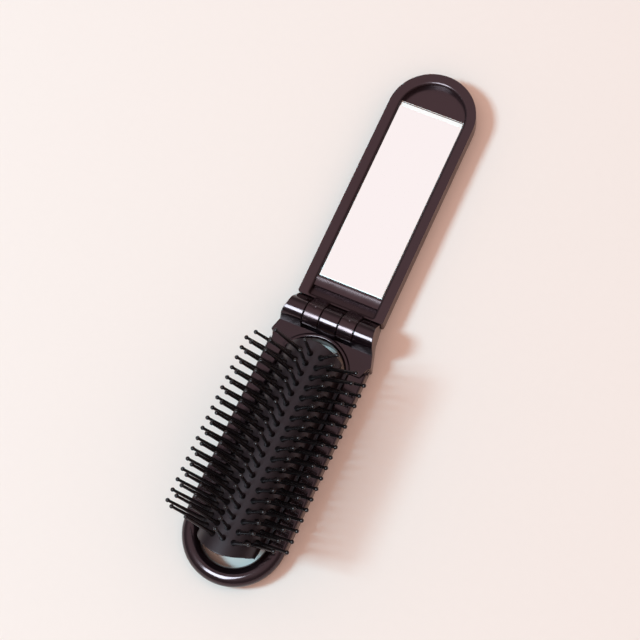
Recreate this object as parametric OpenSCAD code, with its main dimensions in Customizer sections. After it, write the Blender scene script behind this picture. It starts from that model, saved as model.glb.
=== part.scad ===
// Folding hairbrush with a mirror in its handle, lying open on its back.
// X runs across the brush, +Y points from the hoop end to the mirror end and +Z points up, the way the pins
// stand. The origin is the middle of the footprint, on the surface that the brush lies on.
// The pin pad is one flexible moulding. It is drawn as seven stiff slats, each with its row of pins, and the
// thin webs and skirts that bend between them when the pad pops through the frame.

/* [Overall] */
// Length of the brush half, from the hinge axis to the end of the hoop
brush_len = 109.3; // [104:0.1:125]
// Length of the mirror half, from the hinge axis to its round end
mirror_len = 114.5; // [104:0.5:130]
// Thickness of both halves
body_t = 7.4; // [6.6:0.1:9]

/* [Brush frame] */
// Width across the two rails
frame_w = 41.4; // [39.4:0.2:46]
// Width across the shoulders of the hinge flange
shoulder_w = 42.4; // [41.4:0.2:50]
// Distance from the hinge axis to the end of the shoulders
shoulder_y = 10.8; // [10.4:0.1:13]
// How far the flange narrows from the hinge axis to its end, on each side
waist = 0.9; // [0.4:0.1:1.4]
// Width of the slanted underside along the flange's sides
under_w = 2; // [1:0.1:2.4]
// Height of that slanted underside
under_h = 4; // [2:0.1:5]
// How far the seam behind the shoulders drops along the rail
seam_drop = 4.6; // [3:0.1:6]
// Width of the slanted part of that seam
seam_w = 2; // [1.4:0.1:3]
// How much wider the seam opens at the outer side of the rail
seam_open = 2.2; // [1:0.1:3]
// Width of each rail
rail_w = 7.1; // [6:0.1:8]
// Diameter of the round bar of the hoop
hoop_d = 7.4; // [6:0.1:8]
// Thickness of the clip strip on each rail
clip_t = 1.8; // [1.4:0.1:2.4]
// Gap between that seam and the clip strips
seam_gap = 0.3; // [0.1:0.1:0.8]
// Diameter of the raised lip round the hinge end of the cut-out
lip_d = 2.3; // [2:0.1:3.2]
// How much larger the radius of the lip's centre line is than half the cut-out's width
lip_spread = 1; // [0.8:0.1:2]
// Distance from the hinge axis to the nearest point of the lip's centre line
lip_y = 6.3; // [6.2:0.1:8]
// How far the lip sweeps to each side, in degrees
lip_sweep = 66; // [35:1:70]

/* [Hinge] */
// Outer radius of the knuckles
knuckle_r = 4.6; // [4:0.1:5.2]
// Height of the hinge axis over the front faces of the two halves
hinge_rise = 3; // [2.4:0.1:3.4]
// Length of the knuckles at both ends and in the middle
frame_knuckle = 7.4; // [6:0.1:8]
// Length of the two knuckles of the mirror half
handle_knuckle = 6.4; // [5:0.1:7]
// Gap between neighbouring knuckles
knuckle_gap = 0.35; // [0.25:0.05:0.6]
// Radius of the hinge pin
pin_shaft_r = 1.1; // [0.9:0.05:1.4]
// Radial clearance of the hinge pin in its bore
pin_fit = 0.05; // [0.02:0.01:0.1]
// Radial depth of the relief pocket under the knuckles of the mirror half
pocket_gap = 0.9; // [0.6:0.1:1.6]
// Gap between the two halves beside those knuckles
half_gap = 0.4; // [0.3:0.05:0.8]
// Radius of the dimple on those knuckles
dimple_r = 0.8; // [0.5:0.1:1.2]

/* [Mirror half] */
// Width of the mirror half
handle_w = 36.4; // [35:0.1:40]
// Distance from the hinge axis to the end of the mirror half
handle_y = 7.5; // [7.2:0.1:8.4]
// Width of the flat rim round the mirror
rim_w = 4.5; // [4:0.1:6]
// Thickness of the glass
glass_t = 1.8; // [1.2:0.1:2.2]
// Thickness of the adhesive sheet under the glass
tape_t = 0.4; // [0.2:0.1:0.6]
// Depth of the glass below the rim
glass_sink = 1; // [0.6:0.1:1.4]
// Gap round the glass
glass_gap = 0.2; // [0.1:0.05:0.4]
// Distance from the hinge axis to the lower edge of the glass
glass_y = 17.3; // [16.8:0.1:20]
// How far the glass runs into the round end
glass_over = 2.3; // [0:0.1:3]
// Width of the thin lip along the hinge end
end_lip = 1.3; // [1:0.1:2]
// Depth of the sunken bar between that lip and the ridge
pit_d = 2.3; // [1.6:0.1:3]
// Length of the ridge in front of the glass, along the handle
ridge_len = 5.4; // [4:0.1:6]

/* [Pin pad] */
// Gap between the arched pad and each side of the cut-out
pad_gap_side = 1.4; // [1:0.1:1.6]
// Height of the pad's axis over the front face of the frame
pad_rise = 0.5; // [0.2:0.1:1.2]
// Thickness of the slats
slat_t = 1.3; // [1:0.1:1.6]
// Thickness of the webs and skirts
web_t = 0.6; // [0.4:0.1:0.9]
// Angle from one slat to the next round the pad's axis, in degrees
slat_step = 21.5; // [20.5:0.1:22]
// Half the angle that a slat covers, in degrees
slat_half = 6.2; // [6.1:0.1:6.6]
// Gap between a slat and the web beside it
web_gap = 0.05; // [0.03:0.01:0.1]
// Lean of the pins in the first row beside the middle one, in degrees
lean_1 = 30; // [28:0.5:32]
// Lean of the pins in the second row
lean_2 = 50; // [48:0.5:52]
// Lean of the pins in the outer row
lean_3 = 56; // [54:0.5:58]
// Radius of the curved ends of the pad, seen from above
pad_end_r = 26.5; // [22:0.5:30]
// Gap between the pad's end and the lip at the hinge end
pad_gap_hinge = 4.35; // [3:0.05:5]
// Gap between the pad's end and the hoop
pad_gap_hoop = 2.5; // [0.8:0.1:4]
// Distance from each end of the pad to the nearest pin
pin_inset = 5.1; // [4:0.1:7]

/* [Pins] */
// Pins in the longest rows
pin_count = 19; // [15:1:21]
// Length of a pin, from the pad to the middle of its ball
pin_len = 16.4; // [13:0.1:16.8]
// Radius of a pin under its ball
pin_tip_r = 0.55; // [0.45:0.05:0.65]
// Radius of a pin above its flared foot
pin_root_r = 0.75; // [0.6:0.05:0.85]
// Radius of the flared foot
foot_r = 1.25; // [1:0.05:1.25]
// Height of the flared foot
foot_h = 2.6; // [2:0.1:4]
// Radius of the ball
ball_r = 0.85; // [0.7:0.05:0.95]

/* [Hidden] */
// Places along Y are counted from the hinge axis, which lies at hinge_y.
hinge_y = (brush_len - mirror_len) / 2;
hinge_z = body_t + hinge_rise;
bore_r = pin_shaft_r + pin_fit;
barrel_half = frame_knuckle * 1.5 + handle_knuckle + knuckle_gap * 2;
handle_knuckle_x = (frame_knuckle + handle_knuckle) / 2 + knuckle_gap;
frame_knuckle_x = frame_knuckle + handle_knuckle + 2 * knuckle_gap;
pocket_half = handle_knuckle / 2 + knuckle_gap;
pocket_r = knuckle_r + knuckle_gap;
flange_y = handle_y - half_gap;
waist_half = barrel_half - waist;

cut_half = frame_w / 2 - rail_w;
hoop_r = (frame_w - hoop_d) / 2;
hoop_y = -(brush_len - frame_w / 2);
lip_r = cut_half + lip_spread;
lip_c = -(lip_y + lip_r);
lip_foot = body_t * 0.6;
cut_r = lip_r - lip_d / 5;
cut_y = lip_c + sqrt(cut_r * cut_r - cut_half * cut_half);
rail_h = body_t - clip_t;
edge_r = 1.2;

recess_half = handle_w / 2 - rim_w;
round_y = mirror_len - handle_w / 2;
recess_d = glass_sink + glass_t + tape_t;
glass_end = round_y + glass_over;
back_r = 2.4;
front_r = 0.5;

pad_r = cut_half - pad_gap_side;
pad_y0 = lip_y + lip_d / 2 + pad_gap_hinge;
pad_y1 = brush_len - hoop_d - pad_gap_hoop;
pad_z = body_t + pad_rise;
pin_pitch = (pad_y1 - pad_y0 - 2 * pin_inset) / (pin_count - 1);
leans = [0, lean_1, lean_2, lean_3];
row_pins = [pin_count, pin_count, pin_count - 1, pin_count - 2];
row_shift = [0, 0, 0.5, 1];
skirt_half = cut_half + rail_w * 0.45;
skirt_t = 0.8;
hoop_slip = 0.3;
skirt_y0 = shoulder_y + seam_drop + seam_gap;
skirt_y1 = -hoop_y + sqrt(pow(hoop_r - hoop_d / 2, 2) - pad_r * pad_r) - hoop_slip;

// ---- shapes that repeat ----

// Puts what is drawn round the hinge axis in its place along Y
module from_hinge() {
    translate([0, hinge_y, 0]) children();
}

// Extrudes an outline in X and Z along Y, from y_low to y_high
module along_y(y_low, y_high) {
    translate([0, y_high, 0]) rotate([90, 0, 0]) linear_extrude(y_high - y_low) children();
}

// Extrudes an outline in Y and Z along X, centred on x
module along_x(x, len) {
    translate([x - len / 2, 0, 0]) rotate([90, 0, 90]) linear_extrude(len) children();
}

// Rectangle from x0 to x1 and y0 to y1, with its lower corners rounded by r_low and its upper ones by r_high
module soft_rect(x0, x1, y0, y1, r_low, r_high) {
    translate([x0 + r_low, y0]) square([x1 - x0 - 2 * r_low, r_low]);
    translate([x0, y0 + r_low]) square([x1 - x0, y1 - y0 - r_low - r_high]);
    translate([x0 + r_high, y1 - r_high]) square([x1 - x0 - 2 * r_high, r_high]);
    for (x = [x0 + r_low, x1 - r_low]) translate([x, y0 + r_low]) circle(r_low, $fn = 32);
    for (x = [x0 + r_high, x1 - r_high]) translate([x, y1 - r_high]) circle(r_high, $fn = 32);
}

// Mirrors what is drawn for the right side to the left when side is -1
module sided(side) {
    mirror([side < 0 ? 1 : 0, 0]) children();
}

// One knuckle of the hinge, centred on x, with a web that runs down from its crown to the top of the plate.
// side is 1 for a web towards the mirror end and -1 for one towards the hoop.
module knuckle(x, len, side, web_y, web_z) {
    reach = sqrt(web_y * web_y + hinge_rise * hinge_rise);
    lift = acos(knuckle_r / reach) - atan2(hinge_rise, web_y);
    translate([x, 0, hinge_z]) rotate([0, 90, 0]) cylinder(h = len, r = knuckle_r, center = true, $fn = 96);
    along_x(x, len) polygon([
        [0, web_z],
        [side * web_y, web_z],
        [side * web_y, body_t],
        [side * knuckle_r * cos(lift), hinge_z + knuckle_r * sin(lift)],
        [0, hinge_z + knuckle_r * 0.8]]);
}

module hinge_bore() {
    translate([0, 0, hinge_z]) rotate([0, 90, 0])
        cylinder(h = 2 * barrel_half + 2, r = bore_r, center = true, $fn = 48);
}

// ---- brush half ----

// Place along Y of the seam between the flange and the clip strips, at a distance x from the middle
function seam(x) = -shoulder_y - seam_drop * min(1, (frame_w / 2 - x) / seam_w);

// Corners of the flange's right side, from the end at the mirror half to the shoulder
flange_side = [[waist_half, flange_y], [barrel_half, 0], [shoulder_w / 2, -shoulder_y + 0.8],
    [shoulder_w / 2 - 0.2, -shoulder_y]];

module flange_outline() {
    side = concat(flange_side, [for (x = [frame_w / 2, frame_w / 2 - seam_w, cut_half - 1]) [x, seam(x)]]);
    polygon(concat(side, [for (i = [len(side) - 1 : -1 : 0]) [-side[i][0], side[i][1]]]));
}

// Takes the slanted underside off a plate along an edge that runs from one corner to the next
module under_cut(from, to) {
    run = to - from;
    translate(from) rotate([0, 0, atan2(run[1], run[0])]) rotate([90, 0, 90])
        translate([0, 0, -1]) linear_extrude(norm(run) + 2)
            polygon([[1, -1], [-under_w, -1], [-under_w, 0], [0, under_h], [1, under_h]]);
}

// Plan of the cut-out that the pad stands in
module cut_out() {
    translate([-cut_half, hoop_y]) square([2 * cut_half, cut_y - hoop_y]);
    translate([0, lip_c]) intersection() {
        circle(cut_r, $fn = 128);
        translate([-cut_half, 0]) square([2 * cut_half, lip_r + 1]);
    }
}

// Raised lip round the hinge end of the cut-out: a wall along its edge with a round crest
module raised_lip() {
    crest = [for (a = [0 : 15 : 180]) [lip_r + lip_d / 2 * cos(a), body_t + lip_d / 2 * sin(a)]];
    translate([0, lip_c, 0]) rotate([0, 0, 90 - lip_sweep]) rotate_extrude(angle = 2 * lip_sweep, $fn = 128)
        polygon(concat([[lip_r - lip_d / 2, lip_foot], [lip_r + lip_d / 2, lip_foot]], crest));
}

module hoop() {
    translate([0, hoop_y, hoop_d / 2]) rotate([0, 0, 180])
        rotate_extrude(angle = 180, $fn = 128) translate([hoop_r, 0]) circle(d = hoop_d, $fn = 48);
}

module rail(side) {
    along_y(hoop_y, -shoulder_y + 1) sided(side) difference() {
        soft_rect(cut_half, frame_w / 2, 0, rail_h + edge_r, edge_r, edge_r);
        translate([cut_half - 1, rail_h]) square([rail_w + 2, edge_r + 1]);
    }
}

module hinge_pockets() {
    for (x = [-handle_knuckle_x, handle_knuckle_x]) {
        translate([x, 0, hinge_z]) rotate([0, 90, 0])
            cylinder(h = 2 * pocket_half, r = pocket_r, center = true, $fn = 96);
        translate([x - pocket_half, 0, hinge_z - pocket_r]) cube([2 * pocket_half, flange_y + 1, pocket_r]);
        translate([x - pocket_half, -knuckle_r - pocket_gap, body_t - 2 * pocket_gap])
            cube([2 * pocket_half, knuckle_r, 3 * pocket_gap]);
    }
}

// The end knuckles are drawn too long here. The flange's outline trims their outer ends.
module frame_knuckles() {
    for (side = [1, -1]) {
        reach = side > 0 ? flange_y : knuckle_r + 0.6;
        knuckle(0, frame_knuckle, side, reach, body_t - 1);
        for (end = [-1, 1])
            knuckle(end * (frame_knuckle_x + waist), frame_knuckle + 2 * waist, side, reach, body_t - 1);
    }
}

module brush_frame() color([0.07, 0.065, 0.07]) from_hinge() {
    difference() {
        union() {
            difference() {
                linear_extrude(body_t) flange_outline();
                translate([0, 0, -1]) linear_extrude(body_t + 2) cut_out();
                for (side = [0, 1], i = [0, 1])
                    mirror([side, 0]) under_cut(flange_side[i], flange_side[i + 1]);
            }
            raised_lip();
            rail(1);
            rail(-1);
            hoop();
            intersection() {
                frame_knuckles();
                linear_extrude(hinge_z + knuckle_r + 1) flange_outline();
            }
        }
        hinge_pockets();
        hinge_bore();
    }
}

// Strip that covers a rail and holds down the pad's skirt
module rail_clip(side) {
    x0 = cut_half - 1;
    x1 = frame_w / 2 + 1;
    difference() {
        along_y(hoop_y, 0) sided(side) difference() {
            soft_rect(cut_half, frame_w / 2, rail_h - edge_r, body_t, edge_r, edge_r);
            translate([x0, rail_h - 2 * edge_r]) square([rail_w + 2, 2 * edge_r]);
            translate([x0, rail_h - 1]) square([skirt_half - x0, skirt_t + 1]);
        }
        linear_extrude(body_t + 1) sided(side)
            polygon([[x0, 1], [x1, 1], [x1, seam(frame_w / 2) - seam_open],
                [frame_w / 2, seam(frame_w / 2) - seam_open], [frame_w / 2 - seam_w, seam(x0) - seam_gap],
                [x0, seam(x0) - seam_gap]]);
    }
}

module rail_clip_left() color([0.08, 0.07, 0.075]) from_hinge() rail_clip(-1);
module rail_clip_right() color([0.08, 0.07, 0.075]) from_hinge() rail_clip(1);

// ---- pin pad ----

// Plan of the pad: a bar with curved ends
module pad_plan() {
    translate([0, -pad_y0 - pad_end_r]) circle(pad_end_r, $fn = 128);
    translate([0, -pad_y1 + pad_end_r]) circle(pad_end_r, $fn = 128);
    translate([-pad_end_r, -pad_y1 + pad_end_r])
        square([2 * pad_end_r, pad_y1 - pad_y0 - 2 * pad_end_r]);
}

module trim_to_pad() {
    intersection() {
        children();
        linear_extrude(pad_z + pad_r + 1) pad_plan();
    }
}

// Part of a ring in X and Z between two angles, in degrees from +Z towards +X
module arc_band(a0, a1, thick) {
    far = 2 * pad_r;
    mid = (a0 + a1) / 2;
    difference() {
        circle(pad_r, $fn = 128);
        circle(pad_r - thick, $fn = 128);
        polygon([[0, 0], far * [sin(a0), cos(a0)], far * [sin(mid - 90), cos(mid - 90)],
            -far * [sin(mid), cos(mid)], far * [sin(mid + 90), cos(mid + 90)], far * [sin(a1), cos(a1)]]);
    }
}

// One pin with its flared foot and its ball, standing on the pad along +Z
module brush_pin() {
    neck = asin(pin_tip_r / ball_r);
    rotate_extrude($fn = 20) polygon(concat(
        [[0, -slat_t / 4], [foot_r, -slat_t / 4], [foot_r, 0.2], [pin_root_r, foot_h]],
        [for (i = [0 : 6]) let (a = 180 - neck - (180 - neck) * i / 6)
            [max(0, ball_r * sin(a)), pin_len + ball_r * cos(a)]]));
}

// Slat with its pins. row counts from -3 at the left to 3 at the right.
module pin_row(row) {
    k = abs(row);
    at = row * slat_step;
    lean = sign(row) * leans[k];
    color([0.06, 0.055, 0.06]) from_hinge() {
        trim_to_pad() translate([0, 0, pad_z]) along_y(-pad_y1, -pad_y0)
            arc_band(at - slat_half, at + slat_half, slat_t);
        for (i = [0 : row_pins[k] - 1])
            translate([0, -pad_y0 - pin_inset - (row_shift[k] + i) * pin_pitch, pad_z])
                rotate([0, at, 0]) translate([0, 0, pad_r]) rotate([0, lean - at, 0]) brush_pin();
    }
}

module pin_row_left_3() pin_row(-3);
module pin_row_left_2() pin_row(-2);
module pin_row_left_1() pin_row(-1);
module pin_row_middle() pin_row(0);
module pin_row_right_1() pin_row(1);
module pin_row_right_2() pin_row(2);
module pin_row_right_3() pin_row(3);

module pad_webs() color([0.05, 0.045, 0.05]) from_hinge() {
    slip = web_gap / pad_r * 180 / PI;
    for (side = [-1, 1], k = [0 : 2])
        trim_to_pad() translate([0, 0, pad_z]) along_y(-pad_y1, -pad_y0) sided(side)
            arc_band(k * slat_step + slat_half + slip, (k + 1) * slat_step - slat_half - slip, web_t);
}

// Skirt from the outer slat down to the rail and under its clip
module pad_skirts() color([0.05, 0.045, 0.05]) from_hinge() {
    slip = web_gap / pad_r * 180 / PI;
    for (side = [-1, 1]) trim_to_pad() {
        along_y(-skirt_y1, -skirt_y0) sided(side) {
            translate([0, pad_z]) arc_band(3 * slat_step + slat_half + slip, 90, web_t);
            translate([pad_r - web_t, rail_h]) square([web_t, pad_z - rail_h]);
        }
        along_y(hoop_y + hoop_slip, -skirt_y0) sided(side)
            translate([pad_r - web_t, rail_h]) square([skirt_half - pad_r + web_t, skirt_t]);
    }
}

// ---- hinge pin ----

module hinge_pin() color([0.75, 0.75, 0.77]) from_hinge()
    translate([0, 0, hinge_z]) rotate([0, 90, 0])
        cylinder(h = 2 * barrel_half - 0.8, r = pin_shaft_r, center = true, $fn = 48);

// ---- mirror half ----

module handle_body() {
    along_y(handle_y, round_y) soft_rect(-handle_w / 2, handle_w / 2, 0, body_t, back_r, front_r);
    translate([0, round_y, 0]) rotate_extrude(angle = 180, $fn = 160) intersection() {
        soft_rect(-handle_w / 2, handle_w / 2, 0, body_t, back_r, front_r);
        square([handle_w, 2 * body_t]);
    }
}

// Recess for the glass, with a round end, and the stepped bar between the glass and the hinge
module mirror_recess() {
    translate([0, 0, body_t - recess_d]) {
        translate([-recess_half, glass_y - glass_gap, 0])
            cube([2 * recess_half, round_y - glass_y + glass_gap, recess_d + 1]);
        translate([0, round_y, 0]) cylinder(h = recess_d + 1, r = recess_half, $fn = 160);
    }
    pit_y0 = handle_y + end_lip;
    pit_y1 = glass_y - ridge_len;
    along_x(0, 2 * recess_half) polygon([
        [pit_y0, body_t + 1],
        [pit_y0, body_t - pit_d],
        [pit_y1, body_t - pit_d],
        [pit_y1 + 0.2 * ridge_len, body_t - glass_sink - 0.3],
        [pit_y1 + 0.35 * ridge_len, body_t - glass_sink + 0.3],
        [pit_y1 + 0.75 * ridge_len, body_t - glass_sink + 0.3],
        [glass_y - glass_gap / 2, body_t - glass_sink - 0.5],
        [glass_y - glass_gap / 2, body_t + 1]]);
}

module mirror_handle() color([0.08, 0.07, 0.075]) from_hinge() {
    difference() {
        union() {
            difference() {
                handle_body();
                mirror_recess();
            }
            for (x = [-handle_knuckle_x, handle_knuckle_x])
                knuckle(x, handle_knuckle, 1, handle_y + 0.5, hinge_z - knuckle_r);
        }
        hinge_bore();
        for (x = [-handle_knuckle_x, handle_knuckle_x])
            translate([x, 0, hinge_z]) rotate([-25, 0, 0])
                translate([0, 0, knuckle_r + dimple_r * 0.5]) sphere(dimple_r, $fn = 32);
    }
}

module glass_block(z, thick) {
    half = recess_half - glass_gap;
    translate([-half, glass_y, z]) cube([2 * half, glass_end - glass_y, thick]);
}

module mirror_tape() color([0.9, 0.9, 0.88]) from_hinge()
    glass_block(body_t - recess_d, tape_t);

module mirror_glass() color([0.85, 0.8, 0.79]) from_hinge()
    glass_block(body_t - recess_d + tape_t, glass_t);

brush_frame();
rail_clip_left();
rail_clip_right();
pad_skirts();
pad_webs();
pin_row_left_3();
pin_row_left_2();
pin_row_left_1();
pin_row_middle();
pin_row_right_1();
pin_row_right_2();
pin_row_right_3();
hinge_pin();
mirror_handle();
mirror_tape();
mirror_glass();
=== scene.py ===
import math

import bmesh
import bpy
from mathutils import Matrix, Vector


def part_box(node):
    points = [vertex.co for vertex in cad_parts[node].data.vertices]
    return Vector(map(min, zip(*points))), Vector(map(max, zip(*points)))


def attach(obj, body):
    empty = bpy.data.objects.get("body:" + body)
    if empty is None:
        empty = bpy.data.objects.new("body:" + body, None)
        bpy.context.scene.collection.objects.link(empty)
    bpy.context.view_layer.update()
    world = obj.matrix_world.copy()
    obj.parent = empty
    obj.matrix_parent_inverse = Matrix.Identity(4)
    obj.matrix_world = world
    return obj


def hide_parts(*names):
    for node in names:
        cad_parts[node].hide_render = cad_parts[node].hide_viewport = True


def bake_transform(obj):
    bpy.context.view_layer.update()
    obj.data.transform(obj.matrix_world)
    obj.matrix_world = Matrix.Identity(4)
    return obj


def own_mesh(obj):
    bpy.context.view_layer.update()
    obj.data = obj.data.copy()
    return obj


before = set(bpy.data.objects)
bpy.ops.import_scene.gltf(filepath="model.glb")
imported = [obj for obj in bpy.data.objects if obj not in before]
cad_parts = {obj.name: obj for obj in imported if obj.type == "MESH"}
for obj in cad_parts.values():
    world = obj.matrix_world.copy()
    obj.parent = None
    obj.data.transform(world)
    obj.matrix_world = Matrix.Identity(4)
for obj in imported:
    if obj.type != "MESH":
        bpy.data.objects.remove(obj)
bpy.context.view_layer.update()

bl_info = {
    "name": "Folding hairbrush with mirror",
    "version": (1, 0, 0),
    "blender": (4, 5, 0),
    "location": "View3D > Sidebar > Hairbrush",
    "description": "Dresses the packed hairbrush: frame, pins, pad, handle, mirror, camera, lights and floor",
    "category": "Object",
}

MM = 0.001


def cad_box(node):
    """Lowest and highest corner of a CAD node, in millimetres."""
    low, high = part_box(node)
    return low / MM, high / MM


CLIP_LOW, CLIP_HIGH = cad_box("rail_clip_right")
GLASS_LOW, GLASS_HIGH = cad_box("mirror_glass")
HANDLE_HIGH = cad_box("mirror_handle")[1]
HINGE_LOW, HINGE_HIGH = cad_box("hinge_pin")
HINGE_Y = (HINGE_LOW.y + HINGE_HIGH.y) / 2
HINGE_Z = (HINGE_LOW.z + HINGE_HIGH.z) / 2
FRONT_Z = CLIP_HIGH.z

# Fixed details in millimetres and degrees, too small for a slider of their own
SHOULDER_ROUND = 0.8  # length of the rounding at the end of the shoulders
SOFT_EDGE = 0.3  # rounding of the frame's, the strips' and the sheet's edges
SLAT_HALF = 5.9  # half the angle that a slat covers round the arch
SHEET_PAST_ROWS = 6.2  # angle from the outer rows to the edges of the sheet
SHEET_OVER_SLATS = 0.03  # height of the sheet's surface over the pad's radius
SLAT_INSET = 1.4  # how far a slat ends before the sheet
SKIRT_UPPER_REACH = 12  # how far past the hoop's start the skirt's upper part runs
SKIRT_WALL_REACH = 5  # the same for its upright wall
SKIRT_LEDGE_REACH = -0.3  # the same for its ledge under the strip, which ends before it
SKIRT_BEND = 1.1  # radius of the skirt's bend into its ledge
SKIRT_LEDGE = 3  # width of that ledge
RIDGE_OVER_GLASS = 0.35  # reference height of the ridge's section over the glass
BEVEL_SLOPE = 0.2  # fall of the glass's bevel per length


def length(name, description, millimetres, low, high):
    """A length that a user may change, given in millimetres."""
    return bpy.props.FloatProperty(name=name, description=description, default=millimetres * MM,
                                   min=low * MM, max=high * MM, precision=5, unit="LENGTH")


def angle(name, description, degrees, low, high):
    return bpy.props.FloatProperty(name=name, description=description, default=math.radians(degrees),
                                   min=math.radians(low), max=math.radians(high), unit="ROTATION")


def count(name, description, default, low, high):
    return bpy.props.IntProperty(name=name, description=description, default=default, min=low, max=high)


def linear(hex_colour):
    """Linear red, green and blue of an sRGB hex value."""
    levels = [int(hex_colour[i:i + 2], 16) / 255 for i in (1, 3, 5)]
    return tuple(v / 12.92 if v <= 0.04045 else ((v + 0.055) / 1.055) ** 2.4 for v in levels)


def colour(name, description, hex_colour):
    return bpy.props.FloatVectorProperty(name=name, description=description, subtype="COLOR", size=3,
                                         default=linear(hex_colour), min=0, max=1)


# ---- sizes and colours that a user may change ----

class HairbrushBody(bpy.types.PropertyGroup):
    """Sizes of the brush frame, the hinge and the mirror half"""
    edge: length("Edge radius", "Radius of the handle's outer front edge", 0.6, 0.1, 0.8)
    frame_width: length("Frame width", "Width across the two rails", CLIP_HIGH.x * 2, 39, 46)
    rail_width: length("Rail width", "Width of each rail", CLIP_HIGH.x - CLIP_LOW.x, 6, 8)
    shoulder_width: length("Shoulder width", "Width across the shoulders of the flange", 42.4, 41.4, 50)
    shoulder_reach: length("Shoulder reach", "Hinge axis to the end of the shoulders", 10.8, 10.4, 13)
    waist: length("Waist", "How far the flange narrows towards the handle on each side", 0.9, 0.4, 1.4)
    underside: length("Underside rounding", "Rounding under the flange's sides", 2.6, 1, 3)
    seam_drop: length("Seam drop", "How far the seam behind the shoulders drops along the rail", 4.6, 3, 6)
    seam_width: length("Seam width", "Width of the slanted part of the seam", 2, 1.4, 3)
    seam_open: length("Seam opening", "How much wider the seam opens at the outer side", 2.2, 1, 3)
    seam_gap: length("Seam gap", "Gap between the shoulder and the clip strips", 0.3, 0.1, 0.8)
    hoop_bar: length("Hoop bar", "Diameter of the round bar of the hoop", 7.4, 6, 8)
    lip_bar: length("Lip", "Thickness of the raised lip", 2.3, 2, 3.2)
    lip_radius: length("Lip radius", "Radius of the raised lip's centre line", 14.6, 13.6, 18)
    lip_reach: length("Lip reach", "Hinge axis to the lip's centre line", 6.3, 6.2, 8)
    lip_sweep: angle("Lip sweep", "Sweep of the lip to each side", 66, 35, 70)
    lip_lift: length("Lip lift", "How far the lip's round top is raised over the plate", 0.35, 0, 1)
    clip_height: length("Clip height", "Thickness of the clip strips", 1.8, 1.4, 2.4)
    knuckle_radius: length("Knuckle radius", "Outer radius of the knuckles", 4.6, 4, 5.2)
    knuckle_foot: length("Knuckle foot", "How far a frame knuckle's web reaches behind the barrel", 1, 0.5, 2)
    frame_knuckle: length("Frame knuckle", "Length of the knuckles at the ends and in the middle", 7.4, 6, 8)
    handle_knuckle: length("Handle knuckle", "Length of the two knuckles of the handle", 6.4, 5, 7)
    knuckle_gap: length("Knuckle gap", "Gap between neighbouring knuckles", 0.35, 0.25, 0.6)
    half_gap: length("Gap of the halves", "Gap between the flange and the handle", 0.4, 0.3, 0.8)
    pocket_depth: length("Relief depth", "Depth of the relief pockets in front of the barrel", 1.8, 1, 3)
    pocket_reach: length("Relief reach", "Hinge axis to the end of the relief pockets", 5.5, 5, 6)
    dimple: length("Dimple radius", "Radius of the dimples on the handle's knuckles", 0.8, 0.5, 1.2)
    handle_width: length("Handle width", "Width of the mirror half", HANDLE_HIGH.x * 2, 35, 40)
    handle_reach: length("Handle reach", "Hinge axis to the end of the handle", 7.5, 7.2, 8.4)
    rim_width: length("Rim width", "Width of the rim round the mirror", 4.5, 4, 6)
    rim_edge: length("Rim edge", "Rounding of the rim's inner edge", 1.5, 0.3, 1.8)
    back_radius: length("Back radius", "Rounding of the handle's back", 2.4, 1, 3)
    end_lip: length("End lip", "Width of the thin lip along the hinge end", 1.3, 1, 2)
    pit_depth: length("Bar depth", "Depth of the sunken bar at that lip", 1.5, 1, 2)
    pit_drop: length("Bar drop", "How much deeper the sunken bar is at the ridge", 1.5, 0.5, 2)
    ridge: length("Ridge length", "Length of the ridge in front of the glass", 5.4, 4, 6)
    ground_edge: length("Ground edge", "Width of the ground edge of the glass", 0.3, 0.1, 0.8)
    # The bevel at the glass's far end is drawn white: partly the matt ground glass, partly a painted highlight for the
    # bright reflection along that end.
    bevelled_end: length("Bevelled end", "Width of the ground bevel at the glass's far end", 2.5, 1, 3)
    # The dark line is painted reflection: a strip of the satin black finish in the glass's bevel that stands for the
    # dark refracted image of the glass's edge.
    painted_reflection_line_near: length("Dark line near", "Glass's far end to the near side of the dark line", 0.76, 0.5, 0.9)
    painted_reflection_line_far: length("Dark line far", "Glass's far end to the far side of the dark line", 0.4, 0.32, 0.48)


class HairbrushPad(bpy.types.PropertyGroup):
    """Sizes of the pin pad"""
    radius: length("Pad radius", "Outer radius of the arched pad", 12.2, 12, 12.6)
    rise: length("Pad rise", "Height of the arch's axis over the frame's front", 0.5, 0.2, 1.2)
    wall: length("Pad wall", "Thickness of the arched sheet", 1.3, 0.8, 1.6)
    skirt_wall: length("Skirt wall", "Thickness of the skirts", 0.6, 0.4, 0.9)
    near_radius: length("Near end radius", "Radius of the pad's curved end at the hinge", 26.5, 22, 30)
    far_radius: length("Far end radius", "Radius of the pad's curved end at the hoop", 17, 14, 30)
    overhang: length("Overhang", "How far the sheet reaches past the slats at the hoop", 1, 0, 2)
    near_end: length("Near end", "Hinge axis to the near end of the pad", 11.8, 10, 14)
    far_end: length("Far end", "Hinge axis to the far end of the pad", 99.4, 90, 112)
    pin_inset: length("Pin inset", "Pad's end to the nearest pin", 5.1, 4, 7)
    pins: count("Pins", "Pins in the longest rows", 19, 15, 21)
    step: angle("Row step", "Angle from one row to the next round the arch", 21.5, 20.5, 22)
    lean_1: angle("Lean 1", "Lean of the pins beside the middle row", 30, 28, 32)
    lean_2: angle("Lean 2", "Lean of the pins in the second row", 50, 48, 52)
    lean_3: angle("Lean 3", "Lean of the pins in the outer row", 56, 54, 58)
    pin_length: length("Pin length", "Pad to the middle of the ball", 16.4, 13, 16.8)
    foot: length("Foot radius", "Radius of a pin's flared foot", 1.25, 1, 1.25)
    shaft_low: length("Shaft radius low", "Radius of a pin above its foot", 0.75, 0.6, 0.85)
    shaft_high: length("Shaft radius high", "Radius of a pin under its ball", 0.55, 0.45, 0.65)
    ball: length("Ball radius", "Radius of the ball tip", 0.85, 0.7, 0.95)


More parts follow.
